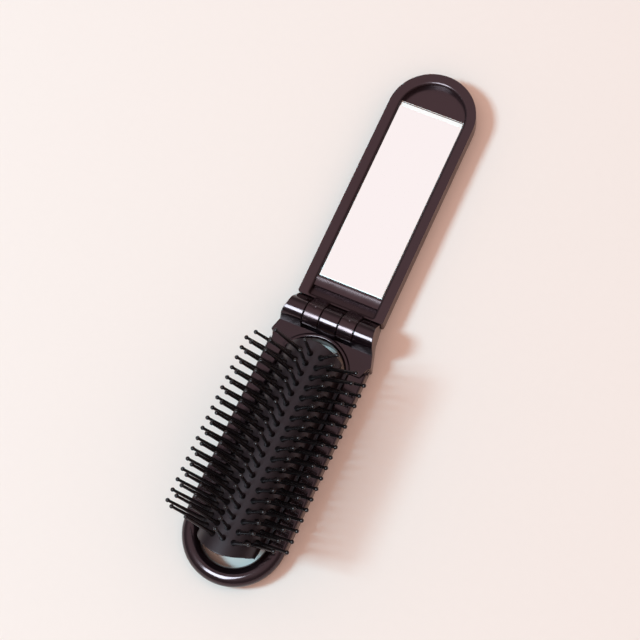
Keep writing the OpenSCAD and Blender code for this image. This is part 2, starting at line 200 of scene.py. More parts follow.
class HairbrushFinish(bpy.types.PropertyGroup):
    """Colours of the finishes"""
    gloss_black: colour("Gloss black", "Frame and clip strips", "#120b0e")
    # Satin black also paints the dark line in the glass's bevel, a painted reflection of the glass's edge.
    satin_black_and_painted_line: colour("Satin black", "Handle, and the dark line in the glass's bevel", "#160d10")
    pin_black: colour("Pin black", "Nylon pins", "#0a0708")
    pad_black: colour("Pad black", "Flexible pad", "#120c0e")
    silver: colour("Silvering", "Mirror", "#fefcfd")
    # Nearly white ground glass. On the bevel at the glass's far end it also serves as a painted highlight.
    ground_glass_and_highlight: colour("Ground glass", "Edges of the mirror", "#fbfdfd")
    backdrop: colour("Backdrop", "Floor and surroundings", "#f5eae6")


GROUPS = {"hairbrush_body": HairbrushBody, "hairbrush_pad": HairbrushPad, "hairbrush_finish": HairbrushFinish}


def mm(group, name):
    """A length property in millimetres."""
    return getattr(getattr(bpy.context.scene, group), name) / MM


def body_mm(name):
    return mm("hairbrush_body", name)


def pad_mm(name):
    return mm("hairbrush_pad", name)


def finish_colour(name):
    return (*getattr(bpy.context.scene.hairbrush_finish, name), 1)


# ---- materials ----

def add_node(tree, kind, settings=None, links=None):
    """Adds a node, sets its properties and socket values, and links its sockets from other nodes' outputs."""
    node = tree.nodes.new(kind)
    for key, value in (settings or {}).items():
        if hasattr(node, key):
            setattr(node, key, value)
        else:
            node.inputs[key].default_value = value
    for socket, source in (links or {}).items():
        tree.links.new(source, node.inputs[socket])
    return node


def noise(tree, size_mm, detail, roughness=0.5):
    """Noise in object coordinates with patches of about size_mm, as a socket to link from."""
    place = add_node(tree, "ShaderNodeTexCoord").outputs["Object"]
    settings = {"Scale": 1 / (size_mm * MM), "Detail": detail, "Roughness": roughness}
    return add_node(tree, "ShaderNodeTexNoise", settings, {"Vector": place}).outputs["Fac"]


def new_material(name):
    """A new material with its node tree and shader, or the finished one of that name and two empty values."""
    found = bpy.data.materials.get(name)
    if found:
        return found, None, None
    material = bpy.data.materials.new(name)
    material.use_nodes = True
    tree = material.node_tree
    shader = tree.nodes["Principled BSDF"]
    return material, tree, shader


def moulded_plastic(name, base, roughness, ripple_mm, ripple_height, grain_mm, grain_height, smudge, ior, sheen_tint):
    """Injection moulded black plastic. The mould's polish leaves a slow ripple of ripple_mm in the reflections, the
    texture of the steel a fine grain, and handling a faint change of gloss in patches of about a centimetre. The
    real grain is too fine to show, so it is drawn as coarse as grain_mm. sheen_tint colours the reflections."""
    material, tree, shader = new_material(name)
    if tree is None:
        return material
    handled = noise(tree, 11, 4, 0.65)
    gloss = add_node(tree, "ShaderNodeMapRange",
                     {"From Min": 0.35, "From Max": 0.7, "To Min": roughness, "To Max": roughness + smudge},
                     {"Value": handled})
    tint = add_node(tree, "ShaderNodeMix",
                    {"data_type": "RGBA", "A": base, "B": tuple(v * 1.4 for v in base[:3]) + (1,)},
                    {"Factor": handled})
    slow = add_node(tree, "ShaderNodeBump", {"Strength": 1, "Distance": ripple_height * MM},
                    {"Height": noise(tree, ripple_mm, 1.5, 0.4)})
    fine = add_node(tree, "ShaderNodeBump", {"Strength": 1, "Distance": grain_height * MM},
                    {"Height": noise(tree, grain_mm, 3, 0.6), "Normal": slow.outputs["Normal"]})
    tree.links.new(tint.outputs["Result"], shader.inputs["Base Color"])
    tree.links.new(gloss.outputs["Result"], shader.inputs["Roughness"])
    tree.links.new(fine.outputs["Normal"], shader.inputs["Normal"])
    shader.inputs["IOR"].default_value = ior
    shader.inputs["Specular Tint"].default_value = (*sheen_tint, 1)
    return material


def gloss_abs():
    """Moulded ABS, polished mould: deep black with clear reflections."""
    return moulded_plastic("abs_black_gloss", finish_colour("gloss_black"), 0.11, 5, 0.012, 0.5, 0.0006, 0.06, 1.54,
                           (1, 0.66, 0.74))


def satin_abs_and_painted_line():
    """Moulded ABS, lightly stoned mould: black with soft reflections. It also paints the dark line in the glass's
    bevel, a painted reflection of the glass's edge and no real part.
    """
    return moulded_plastic("abs_black_satin_and_painted_line", finish_colour("satin_black_and_painted_line"), 0.18, 6, 0.01, 0.45, 0.0012, 0.1, 1.6,
                           (1, 0.62, 0.69))


def nylon_pins():
    """Moulded nylon 6: a slightly waxy black that shows small highlights on the balls."""
    return moulded_plastic("nylon_pins_black", finish_colour("pin_black"), 0.24, 3, 0.004, 0.4, 0.0006, 0.1, 1.4,
                           (1, 0.8, 0.86))


def flexible_pad():
    """Moulded flexible nylon blend: black, a little softer in gloss than the pins."""
    return moulded_plastic("pad_flexible_black", finish_colour("pad_black"), 0.34, 4, 0.014, 0.4, 0.0015, 0.1, 1.44,
                           (1, 0.76, 0.86))


def silvered_glass():
    """Float glass, silvered on its back: a clear reflection with hardly any waviness."""
    material, tree, shader = new_material("silvered_float_glass")
    if tree is None:
        return material
    haze = add_node(tree, "ShaderNodeMapRange", {"From Min": 0.4, "From Max": 0.75, "To Min": 0.015, "To Max": 0.05},
                    {"Value": noise(tree, 9, 5, 0.6)})
    bend = add_node(tree, "ShaderNodeBump", {"Strength": 1, "Distance": 0.002 * MM}, {"Height": noise(tree, 28, 1)})
    shader.inputs["Base Color"].default_value = finish_colour("silver")
    shader.inputs["Metallic"].default_value = 1
    tree.links.new(haze.outputs["Result"], shader.inputs["Roughness"])
    tree.links.new(bend.outputs["Normal"], shader.inputs["Normal"])
    return material


def ground_glass_and_highlight():
    """Edge and bevel of the glass, ground and left matt: nearly white, without silver. On the wide bevel at the far end
    this white is partly a painted highlight that stands for a bright reflection. The real grit is too fine to show, so
    it is drawn as coarse as 0.3 mm."""
    material, tree, shader = new_material("matt_glass_with_painted_highlight")
    if tree is None:
        return material
    grit = noise(tree, 0.3, 3)
    rough = add_node(tree, "ShaderNodeMapRange", {"To Min": 0.2, "To Max": 0.45}, {"Value": grit})
    tooth = add_node(tree, "ShaderNodeBump", {"Strength": 0.5, "Distance": 0.01 * MM}, {"Height": grit})
    shader.inputs["Base Color"].default_value = finish_colour("ground_glass_and_highlight")
    shader.inputs["IOR"].default_value = 1.52
    tree.links.new(rough.outputs["Result"], shader.inputs["Roughness"])
    tree.links.new(tooth.outputs["Normal"], shader.inputs["Normal"])
    return material


def drawn_steel():
    """Drawn steel wire of the hinge pin: lines along its length, 0.1 mm wide because real ones are too fine to show."""
    material, tree, shader = new_material("drawn_steel")
    if tree is None:
        return material
    place = add_node(tree, "ShaderNodeTexCoord").outputs["Object"]
    along = add_node(tree, "ShaderNodeMapping", {"Scale": (0.05, 1, 1)}, {"Vector": place})
    lines = add_node(tree, "ShaderNodeTexNoise", {"Scale": 1 / (0.1 * MM), "Detail": 2},
                     {"Vector": along.outputs["Vector"]})
    rough = add_node(tree, "ShaderNodeMapRange", {"To Min": 0.22, "To Max": 0.4}, {"Value": lines.outputs["Fac"]})
    shader.inputs["Base Color"].default_value = (*linear("#b9b9bc"), 1)
    shader.inputs["Metallic"].default_value = 1
    tree.links.new(rough.outputs["Result"], shader.inputs["Roughness"])
    return material


def tissue_tape():
    """Double-sided tissue tape: off-white paper with a fibrous cloudiness."""
    material, tree, shader = new_material("tissue_tape")
    if tree is None:
        return material
    cloud = add_node(tree, "ShaderNodeMix", {"data_type": "RGBA", "A": (*linear("#d9d8d2"), 1),
                                             "B": (*linear("#eeede8"), 1)}, {"Factor": noise(tree, 0.8, 5)})
    tree.links.new(cloud.outputs["Result"], shader.inputs["Base Color"])
    shader.inputs["Roughness"].default_value = 0.8
    return material


def backdrop_paper():
    """Matt background paper with a faint cloud of fibres, each cloud a few millimetres across."""
    material, tree, shader = new_material("backdrop_paper")
    if tree is None:
        return material
    paper = finish_colour("backdrop")
    tint = add_node(tree, "ShaderNodeMix",
                    {"data_type": "RGBA", "A": paper, "B": tuple(v * 0.985 for v in paper[:3]) + (1,)},
                    {"Factor": noise(tree, 10 / 3, 3)})
    tree.links.new(tint.outputs["Result"], shader.inputs["Base Color"])
    shader.inputs["Roughness"].default_value = 0.9
    shader.inputs["Specular IOR Level"].default_value = 0.1
    return material


# ---- shapes that repeat, drawn in millimetres from the hinge axis ----

def loop_of(bm, points):
    """A closed loop of edges through the points."""
    verts = [bm.verts.new(p) for p in points]
    return [bm.edges.new((verts[i - 1], verts[i])) for i in range(len(verts))]


def prism(bm, outline, step, edge=0.0, segments=3, shape=None):
    """Closed prism: an outline of 3D points, extruded by step, its corners moved by shape, its ends' edges rounded."""
    face = bm.faces.new([bm.verts.new(p) for p in outline])
    made = bmesh.ops.extrude_face_region(bm, geom=[face])["geom"]
    top = [g for g in made if isinstance(g, bmesh.types.BMVert)]
    bmesh.ops.translate(bm, vec=step, verts=top)
    for v in (top + list(face.verts)) if shape else ():
        shape(v)
    shell = {face} | {f for v in top for f in v.link_faces} | {f for v in face.verts for f in v.link_faces}
    bmesh.ops.recalc_face_normals(bm, faces=list(shell))
    if edge:
        caps = [set(top), set(face.verts)]
        rim = [e for f in shell for e in f.edges if any(set(e.verts) <= cap for cap in caps)]
        bmesh.ops.bevel(bm, geom=list(set(rim)), offset=edge, offset_type="OFFSET", segments=segments,
                        profile=0.5, affect="EDGES", material=-1, clamp_overlap=False)


def arc(cx, cy, radius, start, end, steps):
    """Points on an arc in a plane, angles in degrees."""
    return [(cx + radius * math.cos(math.radians(start + (end - start) * i / steps)),
             cy + radius * math.sin(math.radians(start + (end - start) * i / steps))) for i in range(steps + 1)]


def lathe(bm, profile, axis, turn, steps, centre=(0, 0, 0), closed=False):
    """Spins a profile of 3D points round an axis. A closed profile becomes a ring or a capped part of one."""
    verts = [bm.verts.new(p) for p in profile]
    edges = [bm.edges.new(pair) for pair in zip(verts, verts[1:])]
    geom = verts + edges
    if closed:
        edges.append(bm.edges.new((verts[-1], verts[0])))
        geom = verts + edges + [bm.faces.new(verts)]
    full = abs(turn - 360) < 1e-6
    bmesh.ops.spin(bm, geom=geom, cent=centre, axis=axis, angle=math.radians(turn), steps=steps,
                   use_merge=full, use_duplicate=False)


def shaded_object(bm, name, materials, sharp=35):
    """Turns a bmesh in millimetres from the hinge axis into a smooth-shaded object in its place. Its normals are
    weighted by area, so that flat faces next to a rounding stay flat in reflections."""
    bmesh.ops.recalc_face_normals(bm, faces=bm.faces[:])
    bm.transform(Matrix.Scale(MM, 4) @ Matrix.Translation((0, HINGE_Y, 0)))
    mesh = bpy.data.meshes.new(name)
    bm.to_mesh(mesh)
    bm.free()
    for material in materials:
        mesh.materials.append(material)
    mesh.shade_smooth()
    mesh.set_sharp_from_angle(angle=math.radians(sharp))
    obj = bpy.data.objects.new(name, mesh)
    bpy.context.scene.collection.objects.link(obj)
    weighted = obj.modifiers.new("weighted_normals", "WEIGHTED_NORMAL")
    weighted.keep_sharp = True
    depsgraph = bpy.context.evaluated_depsgraph_get()
    obj.data = bpy.data.meshes.new_from_object(obj.evaluated_get(depsgraph), preserve_all_data_layers=True,
                                               depsgraph=depsgraph)
    obj.modifiers.clear()
    bpy.data.meshes.remove(mesh)
    obj.data.name = name
    return obj


def dress(obj, body, slot, *nodes):
    """Hangs a finished piece on its body and hides the CAD nodes that it stands for. The finish's name in slot is not
    used.
    """
    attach(obj, body)
    if nodes:
        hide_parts(*nodes)


def carved(bm, cutters):
    """The bmesh with the closed cutter shells taken out of it by an exact boolean."""
    meshes = []
    for source in (bm, cutters):
        bmesh.ops.recalc_face_normals(source, faces=source.faces[:])
        mesh = bpy.data.meshes.new("carving")
        source.to_mesh(mesh)
        source.free()
        meshes.append(mesh)
    block, tool = (bpy.data.objects.new("carving", mesh) for mesh in meshes)
    for obj in (block, tool):
        bpy.context.scene.collection.objects.link(obj)
    cut = block.modifiers.new("cut", "BOOLEAN")
    cut.operation = "DIFFERENCE"
    cut.solver = "EXACT"
    cut.object = tool
    shaped = block.evaluated_get(bpy.context.evaluated_depsgraph_get())
    result = bmesh.new()
    result.from_mesh(shaped.to_mesh())
    shaped.to_mesh_clear()
    for obj, mesh in zip((block, tool), meshes):
        bpy.data.objects.remove(obj)
        bpy.data.meshes.remove(mesh)
    return result


def add_shell(bm, part):
    """Adds one bmesh to another and frees it."""
    mesh = bpy.data.meshes.new("shell")
    part.to_mesh(mesh)
    part.free()
    bm.from_mesh(mesh)
    bpy.data.meshes.remove(mesh)


def round_edges(bm, radius, segments=3, least=40, where=lambda edge: True):
    """Rounds every edge that turns by more than least degrees and that where picks."""
    sharp = [e for e in bm.edges if len(e.link_faces) == 2 and where(e)
             and e.calc_face_angle(0) > math.radians(least)]
    bmesh.ops.bevel(bm, geom=sharp, offset=radius, offset_type="OFFSET", segments=segments, profile=0.5,
                    affect="EDGES", material=-1, clamp_overlap=True)


def web_lift(reach):
    """Angle up from the horizontal at which a web that reaches that far leaves the knuckle's circle."""
    rise = HINGE_Z - FRONT_Z
    return math.degrees(math.acos(body_mm("knuckle_radius") / math.hypot(reach, rise)) - math.atan2(rise, reach))


def frame_knuckle_outline():
    """Side view of a knuckle of the frame: its crown runs down to the plate on both sides."""
    front = body_mm("handle_reach") - body_mm("half_gap")
    back = body_mm("knuckle_radius") + body_mm("knuckle_foot")
    crown = arc(0, HINGE_Z, body_mm("knuckle_radius"), web_lift(front), 180 - web_lift(back), 40)
    low = FRONT_Z - 1
    return [(front, low), (front, FRONT_Z)] + crown + [(-back, FRONT_Z), (-back, low)]


def handle_knuckle_outline():
    """Side view of a knuckle of the handle: round in front, with a web to the handle behind."""
    back, radius = body_mm("handle_reach") + 0.5, body_mm("knuckle_radius")
    crown = arc(0, HINGE_Z, radius, web_lift(back), 270, 44)
    return [(back, HINGE_Z - radius), (back, FRONT_Z)] + crown


def knuckle(bm, x, size, outline, shape=None):
    """Knuckle centred on x, with rounded ends."""
    prism(bm, [(x - size / 2, y, z) for y, z in outline], (size, 0, 0), edge=0.25, segments=3, shape=shape)


def knuckle_places():
    """Middles of the frame's and of the handle's knuckles along X."""
    whole = body_mm("frame_knuckle") + body_mm("handle_knuckle") + 2 * body_mm("knuckle_gap")
    return (-whole, 0, whole), (-whole / 2, whole / 2)


def rounded_bar(x0, x1, z0, z1, low, high):
    """Outline in X and Z of a bar with rounded lower and upper corners."""
    points = []
    for cx, cz, radius, start in ((x1 - high, z1 - high, high, 0), (x0 + high, z1 - high, high, 90),
                                  (x0 + low, z0 + low, low, 180), (x1 - low, z0 + low, low, 270)):
        points += arc(cx, cz, radius, start, start + 90, 6) if radius else [(cx, cz)]
    return points


# ---- brush half ----

def seam_y(x):
    """Seam between the flange and the clip strips, at a distance x from the middle. It is highest at the outer side."""
    half = body_mm("frame_width") / 2
    return -body_mm("shoulder_reach") - body_mm("seam_drop") * min(1, (half - x) / body_mm("seam_width"))


def barrel_half():
    return body_mm("frame_knuckle") * 1.5 + body_mm("handle_knuckle") + body_mm("knuckle_gap") * 2


def flange_half(y):
    """Half width of the flange at y: one straight taper on each side of the hinge axis."""
    if y > 0:
        return barrel_half() - body_mm("waist") * y / (body_mm("handle_reach") - body_mm("half_gap"))
    spread = body_mm("shoulder_width") / 2 - barrel_half()
    return barrel_half() - spread * y / (body_mm("shoulder_reach") - SHOULDER_ROUND)


def hoop_y():
    return CLIP_LOW.y - HINGE_Y


def flange():
    """Plate from the barrel to the seams, with the cut-out's arc and relief pockets before the handle's knuckles."""
    half = body_mm("frame_width") / 2
    cut, slant = half - body_mm("rail_width"), half - body_mm("seam_width")
    reach, wide = body_mm("shoulder_reach"), body_mm("shoulder_width") / 2
    front = body_mm("handle_reach") - body_mm("half_gap")
    lip_c = -body_mm("lip_reach") - body_mm("lip_radius")
    bore = body_mm("lip_radius") - body_mm("lip_bar") / 5
    side = [(flange_half(front), front), (flange_half(0), 0)]
    side += [(wide - 0.6 + 0.6 * x, -reach + SHOULDER_ROUND - SHOULDER_ROUND * y)
             for x, y in ((1, 0), (0.95, 0.45), (0.8, 0.8), (0.5, 1))]
    side += [(half - 0.3, seam_y(half) - 0.2), (slant, seam_y(slant))]
    top = math.degrees(math.asin((seam_y(cut) - lip_c) / bore))
    inner = arc(0, lip_c, bore, top, 180 - top, 40)
    outline = side + inner + [(-x, y) for x, y in reversed(side)]
    plate = bmesh.new()
    prism(plate, [(x, y, 0) for x, y in outline], (0, 0, FRONT_Z))
    round_edges(plate, body_mm("underside"), 6, 60, lambda edge: all(
        v.co.z < 0.01 and abs(v.co.x) > flange_half(front) - 0.1 and v.co.y > -reach + 0.5 for v in edge.verts)
        and edge.verts[0].co.x * edge.verts[1].co.x > 0)
    tool = bmesh.new()
    depth = body_mm("pocket_depth")
    width = body_mm("handle_knuckle") + 2 * body_mm("knuckle_gap")
    radius = body_mm("knuckle_radius") + body_mm("knuckle_gap")
    for x in knuckle_places()[1]:
        low, end = FRONT_Z - depth, -body_mm("pocket_reach")
        section = [(9, FRONT_Z + 2), (end, FRONT_Z + 2), (end, low)] + \
            [p for p in arc(0, HINGE_Z, radius, 222, 270, 10) if p[1] < low] + [(9, HINGE_Z - radius)]
        prism(tool, [(x - width / 2, y, z) for y, z in section], (width, 0, 0))
    plate = carved(plate, tool)
    round_edges(plate, SOFT_EDGE, 3, 42)
    return plate


def slant_end(v):
    """Moves a corner on the outer end of an end knuckle onto the flange's side."""
    if abs(v.co.x) > barrel_half() - 1:
        v.co.x = math.copysign(flange_half(v.co.y), v.co.x)


def build_frame():
    """Frame: the flange, the raised lip, the hoop, the two rails with the notch at their seams, and the knuckles."""
    bm = flange()
    half, bar = body_mm("frame_width") / 2, body_mm("hoop_bar")
    cut = half - body_mm("rail_width")
    lip, radius = body_mm("lip_bar") / 2, body_mm("lip_radius")
    centre = (0, -body_mm("lip_reach") - radius, 0)
    sweep = math.degrees(bpy.context.scene.hairbrush_body.lip_sweep)
    crest = [(radius + x, FRONT_Z + body_mm("lip_lift") + z) for x, z in arc(0, 0, lip, 0, 180, 12)]
    profile = [(radius + lip, FRONT_Z - 3)] + crest + [(radius - lip, FRONT_Z - 3)]
    turned = Matrix.Rotation(math.radians(90 - sweep), 4, "Z")
    points = [turned @ Vector((x, 0, z)) + Vector(centre) for x, z in profile]
    lathe(bm, points, (0, 0, 1), 2 * sweep, 72, centre, closed=True)
    hoop_c = Vector((0, hoop_y(), bar / 2))
    ring = [hoop_c + Vector((x, 0, z)) for x, z in arc(half - bar / 2, 0, bar / 2, 0, 360, 40)[:-1]]
    lathe(bm, ring, (0, 0, 1), -180, 96, hoop_c, closed=True)
    rail_top = FRONT_Z - body_mm("clip_height")
    for side in (-1, 1):
        rail = bmesh.new()
        prism(rail, [(side * x, hoop_y(), z) for x, z in rounded_bar(cut, half, 0, rail_top, 1.2, 0)],
              (0, -body_mm("shoulder_reach") + 1 - hoop_y(), 0))
        notch = bmesh.new()
        rise = body_mm("seam_drop") / body_mm("seam_width")
        fall = rise - body_mm("seam_open") / body_mm("seam_width")
        plan = [(half - body_mm("seam_width"), seam_y(0) - 0.1), (half + 1, seam_y(half) - body_mm("seam_open") + fall),
                (half + 1, seam_y(half) + rise)]
        # The notch's floor starts at the rail's top and falls by 45 degrees towards the outer side
        prism(notch, [(side * x, y, rail_top + plan[0][0] - x) for x, y in plan], (0, 0, FRONT_Z))
        add_shell(bm, carved(rail, notch))
    for x in knuckle_places()[0]:
        knuckle(bm, x, body_mm("frame_knuckle"), frame_knuckle_outline(), slant_end)
    obj = shaded_object(bm, "frame_moulding", [gloss_abs()])
    dress(obj, "brush_half", "black_gloss", "brush_frame")


def build_clip(name, side):
    """Strip on a rail: rounded on top, cut along the seam at one end and square to the hoop at the other."""
    half = body_mm("frame_width") / 2
    cut, slant = half - body_mm("rail_width"), half - body_mm("seam_width")
    low = FRONT_Z - body_mm("clip_height")
    outline = rounded_bar(cut, half, low, FRONT_Z, 0, 1.2)
    bm = bmesh.new()
    prism(bm, [(side * x, hoop_y(), z) for x, z in outline], (0, -hoop_y() - body_mm("shoulder_reach"), 0))
    tool = bmesh.new()
    end, corner = seam_y(cut) - body_mm("seam_gap"), seam_y(half) - body_mm("seam_open")
    plan = [(cut - 1, end), (slant, end), (half, corner), (half + 1, corner), (half + 1, 0), (cut - 1, 0)]
    prism(tool, [(side * x, y, low - 1) for x, y in plan], (0, 0, FRONT_Z - low + 2))
    bm = carved(bm, tool)
    round_edges(bm, SOFT_EDGE, 3, 60)
    obj = shaded_object(bm, name, [gloss_abs()])
    dress(obj, "brush_half", "black_satin", name.replace("strip", "clip"))


# ---- pin pad ----

def pad_end(x, near):
    """Place along Y of the pad's rounded end at a distance x from the middle."""
    radius = pad_mm("near_radius" if near else "far_radius")
    drop = radius - math.sqrt(max(0.0, radius * radius - x * x))
    return -pad_mm("near_end") - drop if near else -pad_mm("far_end") - pad_mm("overhang") + drop


def arch_point(degrees, radius, y):
    a = math.radians(degrees)
    return Vector((radius * math.sin(a), y, FRONT_Z + pad_mm("rise") + radius * math.cos(a)))


def stretch_to_ends(bm, inset=0.0):
    """Moves a sheet that runs along Y from 0 to 1 so that it reaches from one rounded end of the pad to the other."""
    for v in bm.verts:
        low, high = pad_end(abs(v.co.x), False) + inset, pad_end(abs(v.co.x), True) - inset
        v.co.y = low + (high - low) * v.co.y


def line_along_y(bm, point, steps):
    """A row of edges from y = 0 to y = 1 at a point's X and Z, closer together near the ends."""
    verts = []
    for i in range(steps + 1):
        t = (1 - math.cos(math.pi * i / steps)) / 2
        verts.append(bm.verts.new((point[0], t, point[2])))
    return verts + [bm.edges.new(pair) for pair in zip(verts, verts[1:])]


def build_sheet():
    """The arched sheet that the pins stand on, one smooth surface from skirt to skirt."""
    bm = bmesh.new()
    step = math.degrees(bpy.context.scene.hairbrush_pad.step)
    edge = 3 * step + SHEET_PAST_ROWS
    outer = pad_mm("radius") + SHEET_OVER_SLATS
    strip = line_along_y(bm, arch_point(-edge, outer, 0), 40)
    bmesh.ops.spin(bm, geom=strip, cent=(0, 0, FRONT_Z + pad_mm("rise")), axis=(0, 1, 0),
                   angle=math.radians(2 * edge), steps=56, use_merge=False)
    stretch_to_ends(bm)
    bmesh.ops.recalc_face_normals(bm, faces=bm.faces[:])
    if bm.faces[:][len(bm.faces) // 2].normal.z < 0:
        bmesh.ops.reverse_faces(bm, faces=bm.faces[:])
    bmesh.ops.solidify(bm, geom=bm.faces[:], thickness=pad_mm("wall"))
    round_edges(bm, SOFT_EDGE, 2, 50)
    obj = shaded_object(bm, "pad_sheet", [flexible_pad()])
    dress(obj, "brush_half", "black_flexible", "pad_webs")
    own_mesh(obj)


def build_skirt(side):
    """Skirt from under the sheet's edge down to the rail and out under its clip."""
    word = "left" if side < 0 else "right"
    radius, wall = pad_mm("radius"), pad_mm("skirt_wall")
    mid = radius - wall / 2
    floor = FRONT_Z - body_mm("clip_height") + 0.4
    path = [arch_point(a, mid - 0.3, 0) for a in (58, 63, 68)] + [arch_point(a, mid, 0) for a in (72, 77, 82, 87)]
    bend = SKIRT_BEND
    path += [Vector((mid + bend - bend * math.cos(math.radians(a)), 0, floor + bend - bend * math.sin(math.radians(a))))
             for a in (0, 18, 36, 54, 72, 90)]
    path.append(Vector((mid + bend + SKIRT_LEDGE, 0, floor)))
    bm = bmesh.new()
    rows = []
    for p in path:
        rows.append([g for g in line_along_y(bm, (side * p.x, 0, p.z), 30) if isinstance(g, bmesh.types.BMEdge)])
    for low, high in zip(rows, rows[1:]):
        bmesh.ops.bridge_loops(bm, edges=low + high)
    for v in bm.verts:
        if v.co.z > FRONT_Z + 0.3:
            reach = SKIRT_UPPER_REACH
        else:
            reach = SKIRT_WALL_REACH if abs(v.co.x) < mid + 0.1 else SKIRT_LEDGE_REACH
        low = max(pad_end(abs(v.co.x), False) + 0.02, hoop_y() - reach)
        v.co.y = low + (seam_y(0) - body_mm("seam_gap") - low) * v.co.y
    bmesh.ops.recalc_face_normals(bm, faces=bm.faces[:])
    bmesh.ops.solidify(bm, geom=bm.faces[:], thickness=wall)
    obj = shaded_object(bm, f"pad_skirt_{word}", [flexible_pad()])
    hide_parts("pad_skirts")
    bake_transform(obj)


def pin_profile():
    """Half outline of a pin: flared foot, tapering shaft and ball, as radius and height."""
    foot, low, high = pad_mm("foot"), pad_mm("shaft_low"), pad_mm("shaft_high")
    ball, tall = pad_mm("ball"), pad_mm("pin_length")
    neck = math.degrees(math.asin(high / ball))
    cap = arc(0, tall, ball, -90 + neck, 90, 8)
    flare = [(foot, -0.3), (foot, 0.1), (foot * 0.93, 0.42), (foot * 0.8, 0.95), (low * 1.12, 1.7), (low, 2.7)]
    return [(0, -0.3)] + flare + [(low * 0.55 + high * 0.45, 9)] + cap[:-1] + [(0, tall + ball)]


def build_row(name, row):
    """Row of pins on the slat that carries them inside the sheet."""
    pad = bpy.context.scene.hairbrush_pad
    k = abs(row)
    sign = 1 if row > 0 else -1
    leans = [0, math.degrees(pad.lean_1), math.degrees(pad.lean_2), math.degrees(pad.lean_3)]
    at = row * math.degrees(pad.step)
    bm = bmesh.new()
    inner, outer = pad_mm("radius") - pad_mm("wall") + 0.05, pad_mm("radius") - 0.1
    band = [arch_point(at - SLAT_HALF + 2 * SLAT_HALF * i / 4, outer, 0) for i in range(5)]
    band += [arch_point(at + SLAT_HALF - 2 * SLAT_HALF * i / 4, inner, 0) for i in range(5)]
    prism(bm, band, (0, 1, 0))
    stretch_to_ends(bm, SLAT_INSET)
    pitch = (pad_mm("far_end") - pad_mm("near_end") - 2 * pad_mm("pin_inset")) / (pad.pins - 1)
    start = (0, 0, 0.5, 1)[k]
    number = pad.pins - (0, 0, 1, 2)[k]
    pin = bmesh.new()
    lathe(pin, [(r, 0, z) for r, z in pin_profile()], (0, 0, 1), 360, 14)
    bmesh.ops.remove_doubles(pin, verts=pin.verts[:], dist=0.001)
    bmesh.ops.recalc_face_normals(pin, faces=pin.faces[:])
    tilt = Matrix.Rotation(math.radians(sign * leans[k]), 4, "Y")
    pin.transform(tilt)
    mesh = bpy.data.meshes.new("pin")
    for i in range(number):
        foot = arch_point(at, pad_mm("radius"), -pad_mm("near_end") - pad_mm("pin_inset") - (start + i) * pitch)
        placed = pin.copy()
        placed.transform(Matrix.Translation(foot))
        placed.to_mesh(mesh)
        bm.from_mesh(mesh)
        placed.free()
    pin.free()
    bpy.data.meshes.remove(mesh)
    obj = shaded_object(bm, name.replace("pin_row", "pins"), [nylon_pins()], 40)
    dress(obj, name.replace("pin_row", "row"), "black_pins", name)


# ---- mirror half ----

def u_outline(half, low, round_y, corner, z):
    """Outline of the handle or of its recess: a round far end and two small corners at the hinge end."""
    points = arc(0, round_y, half, 0, 180, 56)
    points += arc(-half + corner, low + corner, corner, 180, 270, 4)
    points += arc(half - corner, low + corner, corner, 270, 360, 4)
    return [(x, y, z) for x, y in points]


def build_handle():
    """Mirror half: a plate with a recess for the glass, a stepped bar before it and two knuckles."""
    bm = bmesh.new()
    half, rim = body_mm("handle_width") / 2, body_mm("rim_width")
    low, round_y = body_mm("handle_reach"), HANDLE_HIGH.y - HINGE_Y - body_mm("handle_width") / 2
    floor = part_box("mirror_tape")[0].z / MM
    recess = half - rim
    pit_y = low + body_mm("end_lip")
    outer = loop_of(bm, u_outline(half, low, round_y, 0.9, FRONT_Z))
    inner = loop_of(bm, u_outline(recess, pit_y, round_y, 0.5, FRONT_Z))
    bmesh.ops.bridge_loops(bm, edges=outer + inner)
    for loop, depth in ((outer, 0), (inner, floor)):
        walls = bmesh.ops.extrude_edge_only(bm, edges=loop)["geom"]
        bmesh.ops.translate(bm, vec=(0, 0, depth - FRONT_Z),
                            verts=[g for g in walls if isinstance(g, bmesh.types.BMVert)])
        bmesh.ops.edgeloop_fill(bm, edges=[g for g in walls if isinstance(g, bmesh.types.BMEdge)])
    bmesh.ops.recalc_face_normals(bm, faces=bm.faces[:])

    def level(edge, z):
        return all(abs(v.co.z - z) < 0.01 for v in edge.verts)

    def inside(v):
        out = abs(v.co.x) if v.co.y < round_y else math.hypot(v.co.x, v.co.y - round_y)
        return out < recess + 0.1 and v.co.y > pit_y - 0.1

    round_edges(bm, body_mm("back_radius"), 7, 50, lambda edge: level(edge, 0))
    for rounding, within in ((body_mm("rim_edge"), True), (body_mm("edge"), False)):
        round_edges(bm, rounding, 4, 50, lambda edge: level(edge, FRONT_Z) and inside(edge.verts[0]) == within
                    and inside(edge.verts[1]) == within)
    step_bar(bm, recess, pit_y, floor)
    for x in knuckle_places()[1]:
        knuckle_with_dimple(bm, x)
    obj = shaded_object(bm, "handle_moulding", [satin_abs_and_painted_line()])
    dress(obj, "mirror_half", "black_satin", "mirror_handle")


def step_bar(bm, recess, pit_y, floor):
    """Stepped bar between the thin end lip and the glass: a sunken floor and a rounded ridge."""
    glass_y = GLASS_LOW.y - HINGE_Y
    ridge = glass_y - body_mm("ridge")
    pit = FRONT_Z - body_mm("pit_depth")
    deep = pit - body_mm("pit_drop")
    top = GLASS_HIGH.z + RIDGE_OVER_GLASS
    section = [(pit_y - 0.3, floor - 0.9), (pit_y - 0.3, pit), (ridge + 0.8, deep)]
    section += [(ridge + along, top - under) for along, under in (
        (0.95, 0.6), (1.5, 0.59), (2.0, 0.565), (2.5, 0.52), (3.0, 0.445), (3.4, 0.365), (3.8, 0.27), (4.2, 0.165),
        (4.45, 0.11), (4.7, 0.08), (4.95, 0.12), (5.1, 0.35))]
    section += [(glass_y - 0.1, top - 0.7), (glass_y - 0.1, floor - 0.9)]
    prism(bm, [(-recess - 0.3, y, z) for y, z in section], (2 * recess + 0.6, 0, 0))


